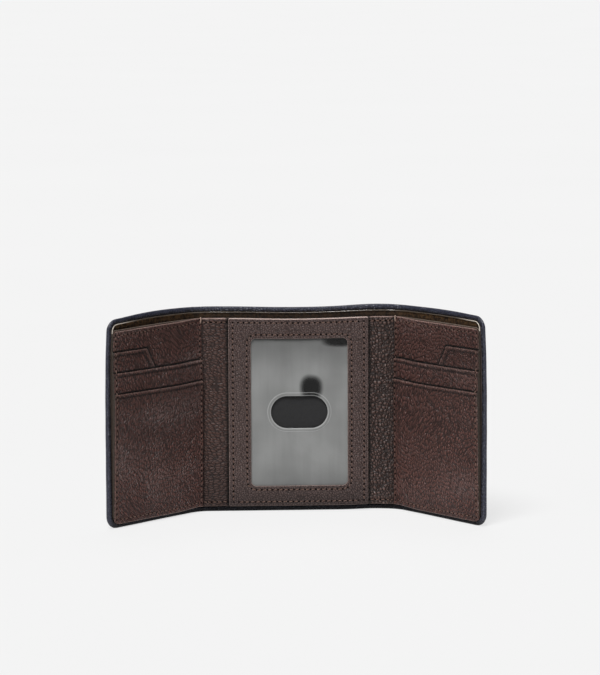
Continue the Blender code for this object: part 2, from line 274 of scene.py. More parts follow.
def shell_front(a, z):
    rim = 1 - smooth_step(shell_inset(a, z), RIM_WIDTH - 0.0001, RIM_WIDTH + 0.0003)
    roll = FOOT_RIM * smooth_step(a, CREASE_B + 0.02, FREE_EDGE - 0.004) * np.clip(1 - z / HEIGHT, 0, 1)
    return (RIM_FRONT + roll) * rim - shell_bow(a, z) + ripple(a, z, 0.00006, 1)


def shell_back(a, z):
    seam = seam_dip(shell_inset(a, z) - OUTSIDE_SEAM)
    return SHELL_BACK - shell_bow(a, z) + ripple(a, z, 0.00010, 1) + seam


def lining_front(a, z):
    bead = 1 - smooth_step(shell_inset(a, z) - RIM_WIDTH, 0.0006, 0.0011)
    return LINING_HIGH[2] + 0.00035 * bead - shell_bow(a, z)


def lining_back(a, z):
    return LINING_LOW[2] - shell_bow(a, z)


def seam_dip(distance):
    """Depth of the channel that a seam pulls into the leather."""
    return SEAM_DIP * np.exp(-(distance / SEAM_DIP_WIDTH) ** 2)


def side_seams_dip(a):
    return seam_dip(a - FLAP_SEAM_START) + seam_dip(a - FLAP_SEAM_END)


def hem_shape(below_mouth):
    """A turned edge: a little thicker down to its crease line, which is pressed in."""
    thick = HEM_RISE * (1 - smooth_step(below_mouth, HEM - 0.0002, HEM + 0.0002))
    return thick - HEM_GROOVE * np.exp(-((below_mouth - HEM) / 0.00028) ** 2)


def across_flap(a):
    """0 at a flap panel's sides, 1 in its middle."""
    return np.sin(np.clip((a - FLAP_SEAM_START) / (FLAP_SEAM_END - FLAP_SEAM_START), 0, 1) * math.pi)


def base_front(a, z):
    shape = ripple(a, z, 0.00008, 2) + 0.0002 * across_flap(a)
    return BASE[1] + shape - side_seams_dip(a) - seam_dip(z - SEAM_TOP)


def pocket_front(depth, mouth, puff, settle, seed):
    """Front face of a card pocket. It stands off most in the middle of its mouth."""
    def front(a, z):
        near_mouth = np.exp(-((mouth - z) / 0.016) ** 2)
        shape = puff * across_flap(a) * (0.35 + 0.65 * near_mouth) + ripple(a, z, 0.00008, seed)
        shape = shape - settle * np.clip(1 - z / FRONT_OPENING, 0, 1)
        return depth[1] + shape + hem_shape(mouth - z) - side_seams_dip(a)
    return front


tab_front = pocket_front(TAB, TAB_OPENING, 0.00022, 0.4 * POCKET_SETTLE, 3)
middle_front = pocket_front(MIDDLE, MIDDLE_OPENING, 0.00025, 0.7 * POCKET_SETTLE, 4)
plain_front = pocket_front(FRONT, FRONT_OPENING, 0.00030, POCKET_SETTLE, 5)


def front_pocket_front(a, z):
    return plain_front(a, z) - seam_dip(z - SEAM_BOTTOM)


def front_pocket_back(a, z):
    """The front pocket's leather is turned in round its sewn sides, down to the base."""
    inward = np.minimum(np.minimum(a - FLAP_PANEL_START, FLAP_PANEL_END - a), z - PANEL_BOTTOM)
    turned = 1 - smooth_step(inward, HEM, 1.5 * HEM)
    plain = front_pocket_front(a, z) - (FRONT[1] - FRONT[0])
    return plain + (base_front(a, z) - plain) * turned


def flap_surface(a, z):
    """Front face of whatever lies uppermost on a flap."""
    tab_side = TAB_TIP - TAB_SLANT * (TAB_OPENING - z)
    surface = base_front(a, z)
    surface = np.where((z < TAB_OPENING) & (a > tab_side), tab_front(a, z), surface)
    surface = np.where(z < MIDDLE_OPENING, middle_front(a, z), surface)
    return np.where(z < FRONT_OPENING, front_pocket_front(a, z), surface)


def gusset_drop(a):
    return GUSSET_TUCK_DROP * smooth_step(a, *GUSSET_TUCK)


def gusset_front(a, z):
    belly = 0.00045 * np.sin(np.clip((a - FRAME_HALF) / (FLAP_PANEL_START - FRAME_HALF), 0, 1) * math.pi)
    rows = seam_dip(z - SEAM_TOP) + seam_dip(z - SEAM_BOTTOM)
    return GUSSET[1] + belly + ripple(a, z, 0.00012, 6) - rows - gusset_drop(a)


def window_inset(a, z, half=WINDOW_HALF, corner=WINDOW_CORNER):
    """Distance outward from a rounded opening in the identity frame. Here a is the signed s."""
    side_gap = np.abs(a - WINDOW_MIDDLE[0]) - (half[0] - corner)
    end_gap = np.abs(z - WINDOW_MIDDLE[1]) - (half[1] - corner)
    outside = np.hypot(np.maximum(side_gap, 0), np.maximum(end_gap, 0))
    return outside + np.minimum(np.maximum(side_gap, end_gap), 0) - corner


def frame_front(s, z):
    window = window_inset(s, z)
    dips = seam_dip(window - WINDOW_SEAM) + seam_dip(np.abs(s) - FRAME_SEAM)
    dips = dips + seam_dip(z - SEAM_TOP) + seam_dip(z - SEAM_BOTTOM)
    crown = 0.00022 * np.exp(-((window - 0.0055) / 0.0024) ** 2)
    return ID_FRAME[1] + crown + ripple(s, z, 0.00006, 7) - dips


def film_front(s, z):
    across = 1 - ((s - WINDOW_MIDDLE[0]) / WINDOW_HALF[0]) ** 2
    upward = 1 - ((z - WINDOW_MIDDLE[1]) / WINDOW_HALF[1]) ** 2
    bulge = 0.00045 * np.maximum(across, 0) * np.maximum(upward, 0)
    hole = window_inset(s, z, HOLE_HALF, HOLE_HALF[1])
    ridge = smooth_step(hole, 0.0001, 0.0005) * (1 - smooth_step(hole, HOLE_RIM - 0.0003, HOLE_RIM))
    return FILM_BACK + 0.0002 + bulge + 0.0002 * ridge + ripple(s, z, 0.00010, 8)


# ---------------------------------------------------------------- meshes

def level(depth):
    return lambda a, z: np.full_like(a, depth)


def below(front, thickness):
    return lambda a, z: front(a, z) - thickness


def rounded_span(first, last, bottom, top, corner, top_corner=None, round_first=True):
    """For a height, how far a rounded rectangle reaches to either side."""
    upper = corner if top_corner is None else top_corner

    def span(z):
        radius, distance = (corner, z - bottom) if z - bottom < top - z else (upper, top - z)
        gap = max(0.0, radius - distance)
        cut = radius - math.sqrt(max(0.0, radius ** 2 - gap ** 2))
        return first + (cut if round_first else 0.0), last - cut
    return span


def stations(start, stop, extra=()):
    """Distances from start to stop, close together at both ends and at the extra places."""
    inner = np.arange(start + EDGE_ROWS[-1], stop - EDGE_ROWS[-1], CELL)
    ends = [start + row for row in EDGE_ROWS] + [stop - row for row in EDGE_ROWS]
    wanted = sorted(list(inner) + ends + [value for value in extra if start < value < stop])
    kept = [wanted[0]]
    for value in wanted[1:-1]:
        if value - kept[-1] > CLOSEST and stop - value > CLOSEST:
            kept.append(value)
    return np.array(kept + [wanted[-1]])


def corner_rows(bottom, top, corner):
    rows = [corner * (1 - math.cos(math.pi / 2 * step / CORNER_STEPS)) for step in range(CORNER_STEPS + 1)]
    return [bottom + row for row in rows] + [top - row for row in rows]


def outward(loop):
    """Unit normals of an anticlockwise loop of (a, z) points."""
    ahead = np.roll(loop, -1, axis=0) - np.roll(loop, 1, axis=0)
    normals = np.stack([ahead[:, 1], -ahead[:, 0]], axis=1)
    return normals / np.maximum(np.linalg.norm(normals, axis=1, keepdims=True), 1e-12)


def raised(points, surface):
    """Flat points (a, z), set on a surface."""
    return np.column_stack([points, surface(points[:, 0], points[:, 1])])


def rim_rings(loop, normals, front, back, edge):
    """Rings of points that carry a sheet's front round its edge to its back."""
    top, bottom = raised(loop, front)[:, 2], raised(loop, back)[:, 2]
    rings = []
    for step in range(1, RIM_STEPS):
        angle = math.pi * step / RIM_STEPS
        place = loop + normals * edge * math.sin(angle)
        depth = (top + bottom) / 2 + (top - bottom) / 2 * math.cos(angle)
        rings.append(np.column_stack([place, depth]))
    return rings


def strips(first, second):
    """Quads between two closed rings of vertex numbers."""
    count = len(first)
    return [(first[i], second[i], second[(i + 1) % count], first[(i + 1) % count]) for i in range(count)]


def make_piece(name, flat, faces, rim, material, side=1):
    """A mesh object from flat points. It keeps them as attributes, for the materials."""
    flat = flat.copy()
    flat[:, 0] *= side
    mesh = bpy.data.meshes.new(name)
    mesh.from_pydata(fold(flat).tolist(), [], faces)
    build = bmesh.new()
    build.from_mesh(mesh)
    bmesh.ops.recalc_face_normals(build, faces=build.faces)
    for edge in build.edges:
        edge.smooth = edge.calc_face_angle(0.0) < math.radians(60)
    for face in build.faces:
        face.smooth = True
    build.to_mesh(mesh)
    build.free()
    places = mesh.attributes.new("flat", "FLOAT_VECTOR", "POINT")
    places.data.foreach_set("vector", flat.astype(np.float32).ravel())
    edges = mesh.attributes.new("rim", "FLOAT", "POINT")
    edges.data.foreach_set("value", rim.astype(np.float32))
    piece = bpy.data.objects.new(name, mesh)
    bpy.context.scene.collection.objects.link(piece)
    mesh.materials.append(material)
    return piece


def make_sheet(name, span, rows, columns, front, back, edge, material, side=1, cut=()):
    """A closed sheet with a rounded edge. Its ends named in cut meet another piece, and stay plain."""
    grid = np.array([[(first + (last - first) * t, z) for t in columns]
                     for z, (first, last) in ((z, span(z)) for z in rows)])
    height, width = grid.shape[:2]
    points = grid.reshape(-1, 2)
    number = np.arange(height * width).reshape(height, width)
    around = list(number[0, :]) + list(number[1:, -1]) + list(number[-1, -2::-1]) + list(number[-2:0:-1, 0])
    loop = points[around]
    normals = outward(loop)
    for index, vertex in enumerate(around):
        row, column = divmod(int(vertex), width)
        if (column == 0 and "first" in cut) or (column == width - 1 and "last" in cut):
            normals[index] = (0, {0: -1, height - 1: 1}.get(row, 0))
    rings = rim_rings(loop, normals, front, back, edge)
    flat = np.vstack([raised(points, front)] + rings + [raised(points, back)])
    ring_start = len(points)
    turned = (np.abs(normals).sum(axis=1) > 0).astype(float)
    rim = np.zeros(len(flat))
    # rim marks the rounded edge, and also the front's rows along the upper edge: a painted highlight along
    # the top edge
    rim[:ring_start] = 1 - smooth_step(max(rows) - points[:, 1], LIT_EDGE / 2, LIT_EDGE)
    rim[ring_start:ring_start + len(rings) * len(loop)] = np.tile(turned, len(rings))
    faces = []
    back_start = ring_start + len(rings) * len(loop)
    for i in range(height - 1):
        for j in range(width - 1):
            quad = (number[i, j], number[i, j + 1], number[i + 1, j + 1], number[i + 1, j])
            faces.append(tuple(int(v) for v in quad))
            faces.append(tuple(int(v) + back_start for v in quad[::-1]))
    around_front = [int(v) for v in around]
    chain = [around_front]
    chain += [[ring_start + k * len(loop) + i for i in range(len(loop))] for k in range(len(rings))]
    chain += [[v + back_start for v in around_front]]
    for first, second in zip(chain, chain[1:]):
        faces += strips(first, second)
    return make_piece(name, flat, faces, rim, material, side)


def rounded_loop(middle, half, corner):
    """Anticlockwise points round a rounded rectangle, with the same count whatever its size."""
    arcs = []
    for side_s, side_z, start in ((1, -1, -90), (1, 1, 0), (-1, 1, 90), (-1, -1, 180)):
        centre = (middle[0] + side_s * (half[0] - corner), middle[1] + side_z * (half[1] - corner))
        angles = [math.radians(start + 90 * step / CORNER_STEPS) for step in range(CORNER_STEPS + 1)]
        arcs.append(np.array([(centre[0] + corner * math.cos(angle), centre[1] + corner * math.sin(angle))
                              for angle in angles]))
    stretches = []
    for arc, next_arc, steps in zip(arcs, arcs[1:] + arcs[:1], (LONG_STEPS, WIDE_STEPS) * 2):
        shares = np.arange(1, steps)[:, None] / steps
        stretches += [arc, arc[-1] + (next_arc[0] - arc[-1]) * shares]
    return np.vstack(stretches)


def make_ring(name, outer, inner, shares, front, back, edge, material):
    """A closed sheet with a hole. The loops match point for point, and are drawn in by the edge's radius."""
    points = np.vstack([outer + (inner - outer) * share for share in shares])
    outer_rings = rim_rings(outer, outward(outer), front, back, edge)
    inner_rings = rim_rings(inner, -outward(inner), front, back, edge)
    flat = np.vstack([raised(points, front), raised(points, back)] + outer_rings + inner_rings)
    rim = np.zeros(len(flat))
    rim[2 * len(points):] = 1.0
    # the vertex numbers of each loop: all fronts, all backs, then the outer and the inner rim
    numbers = np.arange(len(flat)).reshape(-1, len(outer)).tolist()
    rows = len(shares)
    fronts, backs, rims = numbers[:rows], numbers[rows:2 * rows], numbers[2 * rows:]
    faces = []
    for k in range(rows - 1):
        faces += strips(fronts[k], fronts[k + 1])
        faces += strips(backs[k + 1], backs[k])
    for k, ring in ((0, rims[:len(outer_rings)]), (-1, rims[len(outer_rings):])):
        chain = [fronts[k], *ring, backs[k]]
        for first, second in zip(chain, chain[1:]):
            faces += strips(first, second)
    return make_piece(name, flat, faces, rim, material)


# ---------------------------------------------------------------- seams

def needle_places(path):
    """Places of the needle holes along a path, a pitch apart."""
    steps = np.linalg.norm(np.diff(path, axis=0), axis=1)
    length = float(steps.sum())
    walked = np.concatenate([[0], np.cumsum(steps)])
    wanted = np.linspace(0, length, max(1, round(length / PITCH)) + 1)
    return np.column_stack([np.interp(wanted, walked, path[:, k]) for k in range(2)])


def stitch_points(start, end, surface, facing):
    """A stitch's tube: it comes up out of one needle hole and goes down the next, slightly slanted."""
    run = end - start
    length = np.linalg.norm(run)
    run = run / length
    lateral = np.array([-run[1], run[0]])
    points = []
    end_depths = surface(np.array([start[0], end[0]]), np.array([start[1], end[1]]))
    for ring in range(STITCH_RINGS):
        share = ring / (STITCH_RINGS - 1)
        swell = math.sin(math.pi * share)
        middle = start + run * length * (0.20 + 0.60 * share) + lateral * STITCH_SLANT * (2 * share - 1)
        ground = surface(middle[:1], middle[1:])[0]
        bridge = end_depths[0] + (end_depths[1] - end_depths[0]) * share
        ground = facing * max(facing * ground, facing * bridge)
        rise = facing * (STITCH_RISE * swell ** 0.6 - STITCH_SUNK)
        radius = THREAD_RADIUS * (0.7 + 0.3 * swell)
        for k in range(STITCH_SIDES):
            angle = 2 * math.pi * k / STITCH_SIDES
            offset = lateral * radius * math.cos(angle)
            points.append((*(middle + offset), ground + rise + radius * math.sin(angle)))
    return points


def tube_faces(start, rings):
    faces = []
    for ring in range(rings - 1):
        first = [start + ring * STITCH_SIDES + k for k in range(STITCH_SIDES)]
        faces += strips(first, [vertex + STITCH_SIDES for vertex in first])
    faces.append(tuple(start + k for k in range(STITCH_SIDES)))
    last = start + (rings - 1) * STITCH_SIDES
    faces.append(tuple(last + k for k in range(STITCH_SIDES))[::-1])
    return faces


def hole_points(middle, surface, facing, radius):
    """A needle hole: a small dimple, painted near black as the shade inside it."""
    depth = surface(middle[:1], middle[1:])[0]
    points = [(*middle, depth + facing * 0.00014), (*middle, depth - facing * 0.00015)]
    for k in range(HOLE_SIDES):
        angle = 2 * math.pi * k / HOLE_SIDES
        points.append((middle[0] + radius * math.cos(angle),
                       middle[1] + radius * math.sin(angle), depth + facing * 0.00006))
    return points


def hole_faces(start):
    faces = []
    for k in range(HOLE_SIDES):
        here, there = start + 2 + k, start + 2 + (k + 1) % HOLE_SIDES
        faces += [(start, here, there), (start + 1, there, here)]
    return faces


def make_seam(name, paths, surface, thread, side=1, facing=1, hole_radius=HOLE_RADIUS):
    """Every stitch and needle hole of a seam that runs along these flat paths."""
    points, faces, dark = [], [], []
    for path in paths:
        places = needle_places(np.array(path))
        for start, end in zip(places, places[1:]):
            faces += tube_faces(len(points), STITCH_RINGS)
            points += stitch_points(start, end, surface, facing)
        dark.append(len(faces))
        for place in places:
            faces += hole_faces(len(points))
            points += hole_points(place, surface, facing, hole_radius)
        dark.append(len(faces))
    flat = np.array(points)
    piece = make_piece(name, flat, faces, np.zeros(len(flat)), thread, side)
    # needle holes take the near-black material: painted shade
    piece.data.materials.append(needle_hole)
    for first, last in zip(dark[::2], dark[1::2]):
        for face in piece.data.polygons[first:last]:
            face.material_index = 1
    return piece


# ---------------------------------------------------------------- materials

class Graph:
    """A short way to write a material's nodes."""

    def __init__(self, name):
        self.material = bpy.data.materials.new(name)
        self.material.use_nodes = True
        self.tree = self.material.node_tree
        self.shader = self.tree.nodes["Principled BSDF"]

    def node(self, kind, inputs=None, **settings):
        made = self.tree.nodes.new("ShaderNode" + kind)
        for key, value in settings.items():
            setattr(made, key, value)
        self.feed(made, inputs or {})
        return made

    def feed(self, node, inputs):
        for key, value in inputs.items():
            if isinstance(value, bpy.types.NodeSocket):
                self.tree.links.new(value, node.inputs[key])
            else:
                node.inputs[key].default_value = value

    def attribute(self, name, output):
        return self.node("Attribute", attribute_name=name).outputs[output]

    def flat_place(self):
        """The flat place of a point, and its s and z alone."""
        flat = self.attribute("flat", "Vector")
        split = self.node("SeparateXYZ", {0: flat})
        return flat, split.outputs[0], split.outputs[1]

    def math(self, operation, first, second=0.0, third=0.0):
        return self.node("Math", {0: first, 1: second, 2: third}, operation=operation).outputs[0]

    def plus(self, first, second):
        return self.math("ADD", first, second)

    def minus(self, first, second):
        return self.math("SUBTRACT", first, second)

    def times(self, first, second):
        return self.math("MULTIPLY", first, second)

    def most(self, first, second):
        return self.math("MAXIMUM", first, second)

    def size(self, value):
        return self.math("ABSOLUTE", value)

    def weighted(self, value, weight, rest):
        return self.math("MULTIPLY_ADD", value, weight, rest)

    def stretch(self, vector, scales):
        return self.node("VectorMath", {0: vector, 1: scales}, operation="MULTIPLY").outputs[0]

    def shift(self, vector, noise, reach):
        inputs = {0: noise, 1: (reach,) * 3, 2: vector}
        return self.node("VectorMath", inputs, operation="MULTIPLY_ADD").outputs[0]

    def ramp(self, value, low, high, start=0.0, stop=1.0):
        inputs = {"Value": value, "From Min": low, "From Max": high, "To Min": start, "To Max": stop}
        return self.node("MapRange", inputs, interpolation_type="SMOOTHSTEP").outputs[0]

    def mix(self, factor, first, second):
        inputs = {0: factor, 6: first, 7: second}
        return self.node("Mix", inputs, data_type="RGBA").outputs[2]

    def noise(self, vector, scale, detail=2.0, roughness=0.5, output="Fac"):
        inputs = {"Vector": vector, "Scale": scale, "Detail": detail, "Roughness": roughness}
        return self.node("TexNoise", inputs).outputs[output]

    def shear(self, flat, scale):
        """Slow drift that turns a pattern this way and that, and hardly stretches it."""
        by_height = self.noise(self.stretch(flat, (0.3, 1.0, 1.0)), scale, 1.0)
        by_width = self.noise(self.stretch(flat, (1.0, 0.3, 1.0)), scale, 1.0)
        return self.node("CombineXYZ", {0: by_height, 1: by_width}).outputs[0]

    def bump(self, height, distance):
        return self.node("Bump", {"Height": height, "Distance": distance, "Strength": 1.0}).outputs[0]


def rgb(red, green, blue):
    """A colour from its display values, 0 to 255."""
    def linear(value):
        value /= 255
        return value / 12.92 if value <= 0.04045 else ((value + 0.055) / 1.055) ** 2.4
    return (linear(red), linear(green), linear(blue), 1.0)


def pocket_lines(g, along, upward):
    """Painted shade above every pocket mouth and along its crease line, and the burnish and painted highlight
    of its turned edge and of the panel's upper and lower edges.
    """
    tab_side = g.weighted(upward, TAB_SLANT, TAB_TIP - TAB_SLANT * TAB_OPENING)
    beside = g.math("DIVIDE", g.minus(tab_side, along), SIDE_GAP * math.hypot(1, TAB_SLANT))
    beyond_tab = g.most(g.minus(upward, TAB_OPENING), beside)
    over_middle = g.math("GREATER_THAN", upward, MIDDLE_OPENING)
    beyond_middle = g.minus(upward, MIDDLE_OPENING)
    beyond_front = g.minus(upward, FRONT_OPENING)
    shade = 0.0
    # burnish and painted highlight along the panel's upper edge, weaker along its lower edge
    burnish_and_highlight = g.most(g.ramp(upward, PANEL_TOP - LIT_EDGE, PANEL_TOP - LIT_EDGE / 2),
                     g.ramp(upward, PANEL_BOTTOM + LIT_EDGE / 2, PANEL_BOTTOM + LIT_EDGE, 0.6, 0.0))
    for beyond, where in ((beyond_tab, over_middle), (beyond_middle, 1.0), (beyond_front, 1.0)):
        past, before = (g.math(relation, beyond, 0.0) for relation in ("GREATER_THAN", "LESS_THAN"))
        # painted shade just above each mouth and in its crease line, burnish and painted highlight just below
        # the mouth
        gap = g.times(past, g.ramp(beyond, 0.3 * MOUTH_GAP, MOUTH_GAP, 1.0, 0.0))
        crease = g.ramp(g.size(g.plus(beyond, HEM)), 0.0002, 0.0009, CREASE_SHADE, 0.0)
        turned = g.times(before, g.ramp(beyond, -0.0009, -0.0003, 0.0, MOUTH_BURNISH_AND_HIGHLIGHT))
        shade = g.most(shade, g.times(g.most(gap, crease), where))
        burnish_and_highlight = g.most(burnish_and_highlight, g.times(turned, where))
    return shade, burnish_and_highlight


def gusset_lines(g, along, upward):
    """Painted shade where the gusset dives under the identity frame and under the flap's panels, and burnish
    and painted highlight along its upper edge.
    """
    by_frame = g.ramp(g.minus(along, FRAME_HALF), 0.0003, 0.0022, 0.9, 0.0)
    by_panels = g.ramp(g.minus(FLAP_PANEL_START, along), 0.0, 0.0016, 0.7, 0.0)
    return g.most(by_frame, by_panels), g.ramp(upward, PANEL_TOP - LIT_EDGE, PANEL_TOP)


def panel_lines(g, along, upward):
    """The upper edge of a sewn panel is burnished and carries a painted highlight."""
    return 0.0, g.ramp(upward, PANEL_TOP - LIT_EDGE, PANEL_TOP - LIT_EDGE / 2)


def no_lines(g, along, upward):
    return 0.0, 0.0


def pebbles(g, flat, pebble, stretch, flow):
    """Rounded grains: their borders (0 in a crease), their domes, and slow swelling."""
    bent = g.shift(flat, g.shear(flat, FLOW_SCALE), flow)
    jitter = g.noise(bent, 0.45 / pebble, 1.0, output="Color")
    warped = g.stretch(g.shift(bent, jitter, pebble * 0.7), stretch)
    cells = {"Vector": warped, "Scale": 1 / pebble, "Randomness": 0.85}
    borders = g.node("TexVoronoi", cells, feature="DISTANCE_TO_EDGE").outputs["Distance"]
    domes = g.node("TexVoronoi", {**cells, "Smoothness": 0.4}, feature="SMOOTH_F1").outputs["Distance"]
    swell = g.ramp(g.noise(warped, 0.30 / pebble, 1.0), 0.3, 0.7)
    return g.ramp(borders, 0.0, 0.24), g.ramp(domes, 0.0, 0.80, 1.0, 0.0), swell


def leather(name, dark, light, edge, pebble, relief, roughness, stretch=(1.0, 1.0, 1.0), flow=0.012,
            coarse=0.5, lines=no_lines, foot=1.0, foot_height=0.004):
    """Pebbled leather: rounded grains parted by creases, flowing wrinkles, a burnished edge with a painted
    highlight, painted shade along the given lines, and painted shade (foot below 1) or painted light (foot
    above 1) towards the lower edge.
    """
    g = Graph(name)
    flat, across, upward = g.flat_place()
    grain, dome, swell = pebbles(g, flat, pebble, stretch, flow)
    fine = g.noise(flat, 3600.0, 2.0, 0.6)
    height = g.weighted(dome, 0.6, g.times(grain, coarse))
    height = g.weighted(swell, 0.3, height)
    height = g.weighted(fine, 0.03, height)
    patches = g.noise(flat, 420.0, 3.0, 0.6)
    tone = g.times(g.ramp(g.plus(grain, dome), 0.05, 1.55), 0.70)
    tone = g.weighted(g.noise(flat, 45.0, 3.0, 0.6), 0.12, tone)
    tone = g.weighted(patches, 0.10, tone)
    colour = g.mix(g.ramp(tone, 0.05, 0.92), dark, light)
    shade, burnish_and_highlight = lines(g, g.size(across), upward)
    # the edge colour is burnish and a painted highlight, on rims and along upper edges
    burnish_and_highlight = g.most(burnish_and_highlight, g.times(g.attribute("rim", "Fac"), RIM_BURNISH_AND_HIGHLIGHT))
    colour = g.mix(g.times(burnish_and_highlight, 0.85), colour, edge)
    colour = g.mix(shade, colour, DEEP_SHADE)
    # painted shade towards the lower edge where foot is below 1, painted light where it is above 1
    foot_shading = g.ramp(upward, 0.0, foot_height, foot, 1.0)
    colour = g.node("VectorMath", {0: colour, "Scale": foot_shading}, operation="SCALE").outputs[0]
    rough = g.ramp(g.weighted(fine, 0.4, patches), 0.3, 0.9, roughness - 0.07, roughness + 0.10)
    rough = g.weighted(shade, 0.4, g.weighted(burnish_and_highlight, -0.20, rough))
    rough = g.weighted(g.most(g.minus(1.0, foot_shading), 0.0), 0.5, rough)
    flatter = g.minus(1.0, g.times(burnish_and_highlight, 0.7))
    g.feed(g.shader, {"Base Color": colour, "Roughness": rough, "Specular IOR Level": 0.42,
                      "Normal": g.bump(g.times(height, flatter), relief)})
    return g.material


def woven(name, dark, light, edge, yarn, relief, roughness):
    """A fine plain weave. Little light reaches it below the panels' upper edge and over the centre."""
    g = Graph(name)
    flat = g.attribute("flat", "Vector")
    rim = g.attribute("rim", "Fac")
    flat = g.shift(flat, g.noise(flat, 600.0, output="Color"), yarn * 0.35)
    split = g.node("SeparateXYZ", {0: flat})
    warp, weft = (g.math("SINE", g.times(split.outputs[k], 2 * math.pi / yarn)) for k in range(2))
    cloth = g.ramp(g.times(warp, weft), -1.0, 1.0)
    slub = g.ramp(g.noise(flat, 700.0, 3.0, 0.6), 0.35, 0.65)
    tone = g.weighted(slub, 0.5, g.times(cloth, 0.4))
    tone = g.ramp(g.weighted(g.noise(flat, 60.0, 3.0), 0.4, tone), 0.25, 0.95)
    beyond_centre = g.ramp(g.size(split.outputs[0]), CREASE_A, CREASE_B + 0.02, 0.32, 0.85)
    open_to_light = g.times(g.ramp(split.outputs[1], PANEL_TOP, PANEL_TOP + 0.0030, 0.45, 1.0), beyond_centre)
    colour = g.mix(rim, g.mix(g.times(tone, open_to_light), dark, light), edge)
    g.feed(g.shader, {"Base Color": colour, "Roughness": g.weighted(rim, 0.18 - roughness, roughness),
                      "Normal": g.bump(g.plus(cloth, slub), relief), "Specular IOR Level": 0.3})
    return g.material


def thread_material(name, dark, light):
    g = Graph(name)
    flat = g.attribute("flat", "Vector")
    strands = g.node("TexWave", {"Vector": g.stretch(flat, (1.0, 1.0, 2.0)), "Scale": 900.0,
                                 "Distortion": 1.5, "Detail": 1.0}, bands_direction="DIAGONAL")
    tone = g.weighted(strands.outputs["Fac"], 0.5, g.times(g.noise(flat, 350.0), 0.5))
    g.feed(g.shader, {"Base Color": g.mix(tone, dark, light), "Roughness": 0.55, "Sheen Weight": 0.15,
                      "Normal": g.bump(strands.outputs["Fac"], 0.00006)})
    return g.material


def hole_material():
    g = Graph("needle_hole")
    speck = g.noise(g.attribute("flat", "Vector"), 2500.0)
    # near black: painted shade inside a needle hole
    g.feed(g.shader, {"Base Color": g.mix(speck, rgb(7, 4, 3), rgb(20, 12, 10)), "Roughness": 0.8,
                      "Specular IOR Level": 0.1})
    return g.material


def painted_edge_material():
    """Glossy edge paint, with a painted glint: pale near the flaps' upper corners."""
    g = Graph("painted_edge")
    flat, across, upward = g.flat_place()
    near_edge = g.ramp(g.size(across), FREE_EDGE - 0.024, FREE_EDGE - 0.005)
    corner_glint = g.times(near_edge, g.ramp(upward, PANEL_TOP - 0.006, PANEL_TOP))
    uneven = g.noise(flat, 300.0, 3.0, 0.6)
    paint = g.mix(uneven, rgb(58, 50, 43), rgb(104, 94, 84))
    # the pale colour near the corners is a painted glint
    g.feed(g.shader, {"Base Color": g.mix(corner_glint, paint, rgb(200, 190, 178)),
                      "Roughness": g.ramp(uneven, 0.3, 0.7, 0.10, 0.22), "Specular IOR Level": 1.0,
                      "Normal": g.bump(uneven, 0.00008)})
    return g.material


def dark_reflection_spot(g, across, upward, middle, half):
    """1 in a soft-edged spot of painted dark reflection, where the film's haze is taken away."""
    gaps = (g.math("DIVIDE", g.minus(place, centre), reach)
            for place, centre, reach in zip((across, upward), middle, half))
    first, second = (g.math("POWER", g.size(gap), 2.5) for gap in gaps)
    return g.ramp(g.plus(first, second), 1.0 - SPOT_SOFTNESS, 1.0 + SPOT_SOFTNESS, 1.0, 0.0)


def hole_ring_highlights(g, across, upward):
    """Two painted highlights: on the lip of the thumb hole and on the outside of its rim."""
    radius, straight = HOLE_HALF[1], HOLE_HALF[0] - HOLE_HALF[1]
    past = g.most(g.minus(g.size(g.minus(across, WINDOW_MIDDLE[0])), straight), 0.0)
    rise = g.minus(upward, WINDOW_MIDDLE[1])
    reach = g.math("SQRT", g.plus(g.math("POWER", past, 2.0), g.times(rise, rise)))
    from_hole = g.minus(reach, radius)
    lip, rim = (g.ramp(g.size(g.minus(from_hole, place)), 0.0001, 0.0004, strength, 0.0)
                for place, strength in ((0.0003, 1.0), (HOLE_RIM, 0.8)))
    return g.most(lip, rim)


def film_material():
    """Soft clear vinyl: glossy and a little hazy. Its grey is partly haze and partly painted reflection,
    fading towards its top and bottom, with painted dark reflections in spots.
    """
    g = Graph("clear_vinyl")
    flat, across, upward = g.flat_place()
    cloud = g.noise(flat, 38.0)
    streaks = g.noise(g.stretch(flat, (1.0, 0.08, 1.0)), 260.0, 2.0, 0.6)
    drift = g.weighted(cloud, 0.0030, -0.0015)
    drifted = g.plus(across, drift), g.plus(upward, drift)
    # dark spots of painted reflection
    dark_reflection = g.most(*(dark_reflection_spot(g, *drifted, middle, half) for middle, half in DARK_REFLECTION_SPOTS))
    # painted reflection: the film's grey fades towards its top and towards its bottom
    by_height = g.times(g.ramp(upward, 0.068, 0.090, 1.0, 0.60), g.ramp(upward, 0.012, 0.031, 0.76, 1.05))
    uneven = g.times(g.ramp(cloud, 0.25, 0.75, 0.76, 1.03), g.ramp(streaks, 0.25, 0.75, 0.96, 1.03))
    haze_and_reflection = g.times(g.times(by_height, uneven), g.minus(1.0, dark_reflection))
    window_top = WINDOW_MIDDLE[1] + WINDOW_HALF[1]
    edge_shade = g.ramp(upward, window_top - 0.0012, window_top, 1.0, 0.25)
    colour = g.mix(g.times(haze_and_reflection, edge_shade), rgb(12, 12, 12), rgb(138, 139, 138))
    # painted highlights round the thumb hole
    colour = g.mix(g.times(hole_ring_highlights(g, across, upward), 0.4), colour, rgb(190, 191, 190))
    g.feed(g.shader, {"Base Color": colour, "Alpha": g.weighted(haze_and_reflection, 0.08, 0.90), "Roughness": 0.16,
                      "Specular IOR Level": 0.22, "Coat Weight": 0.12, "Coat Roughness": 0.05,
                      "Normal": g.bump(g.noise(flat, 120.0), 0.0004)})
    return g.material


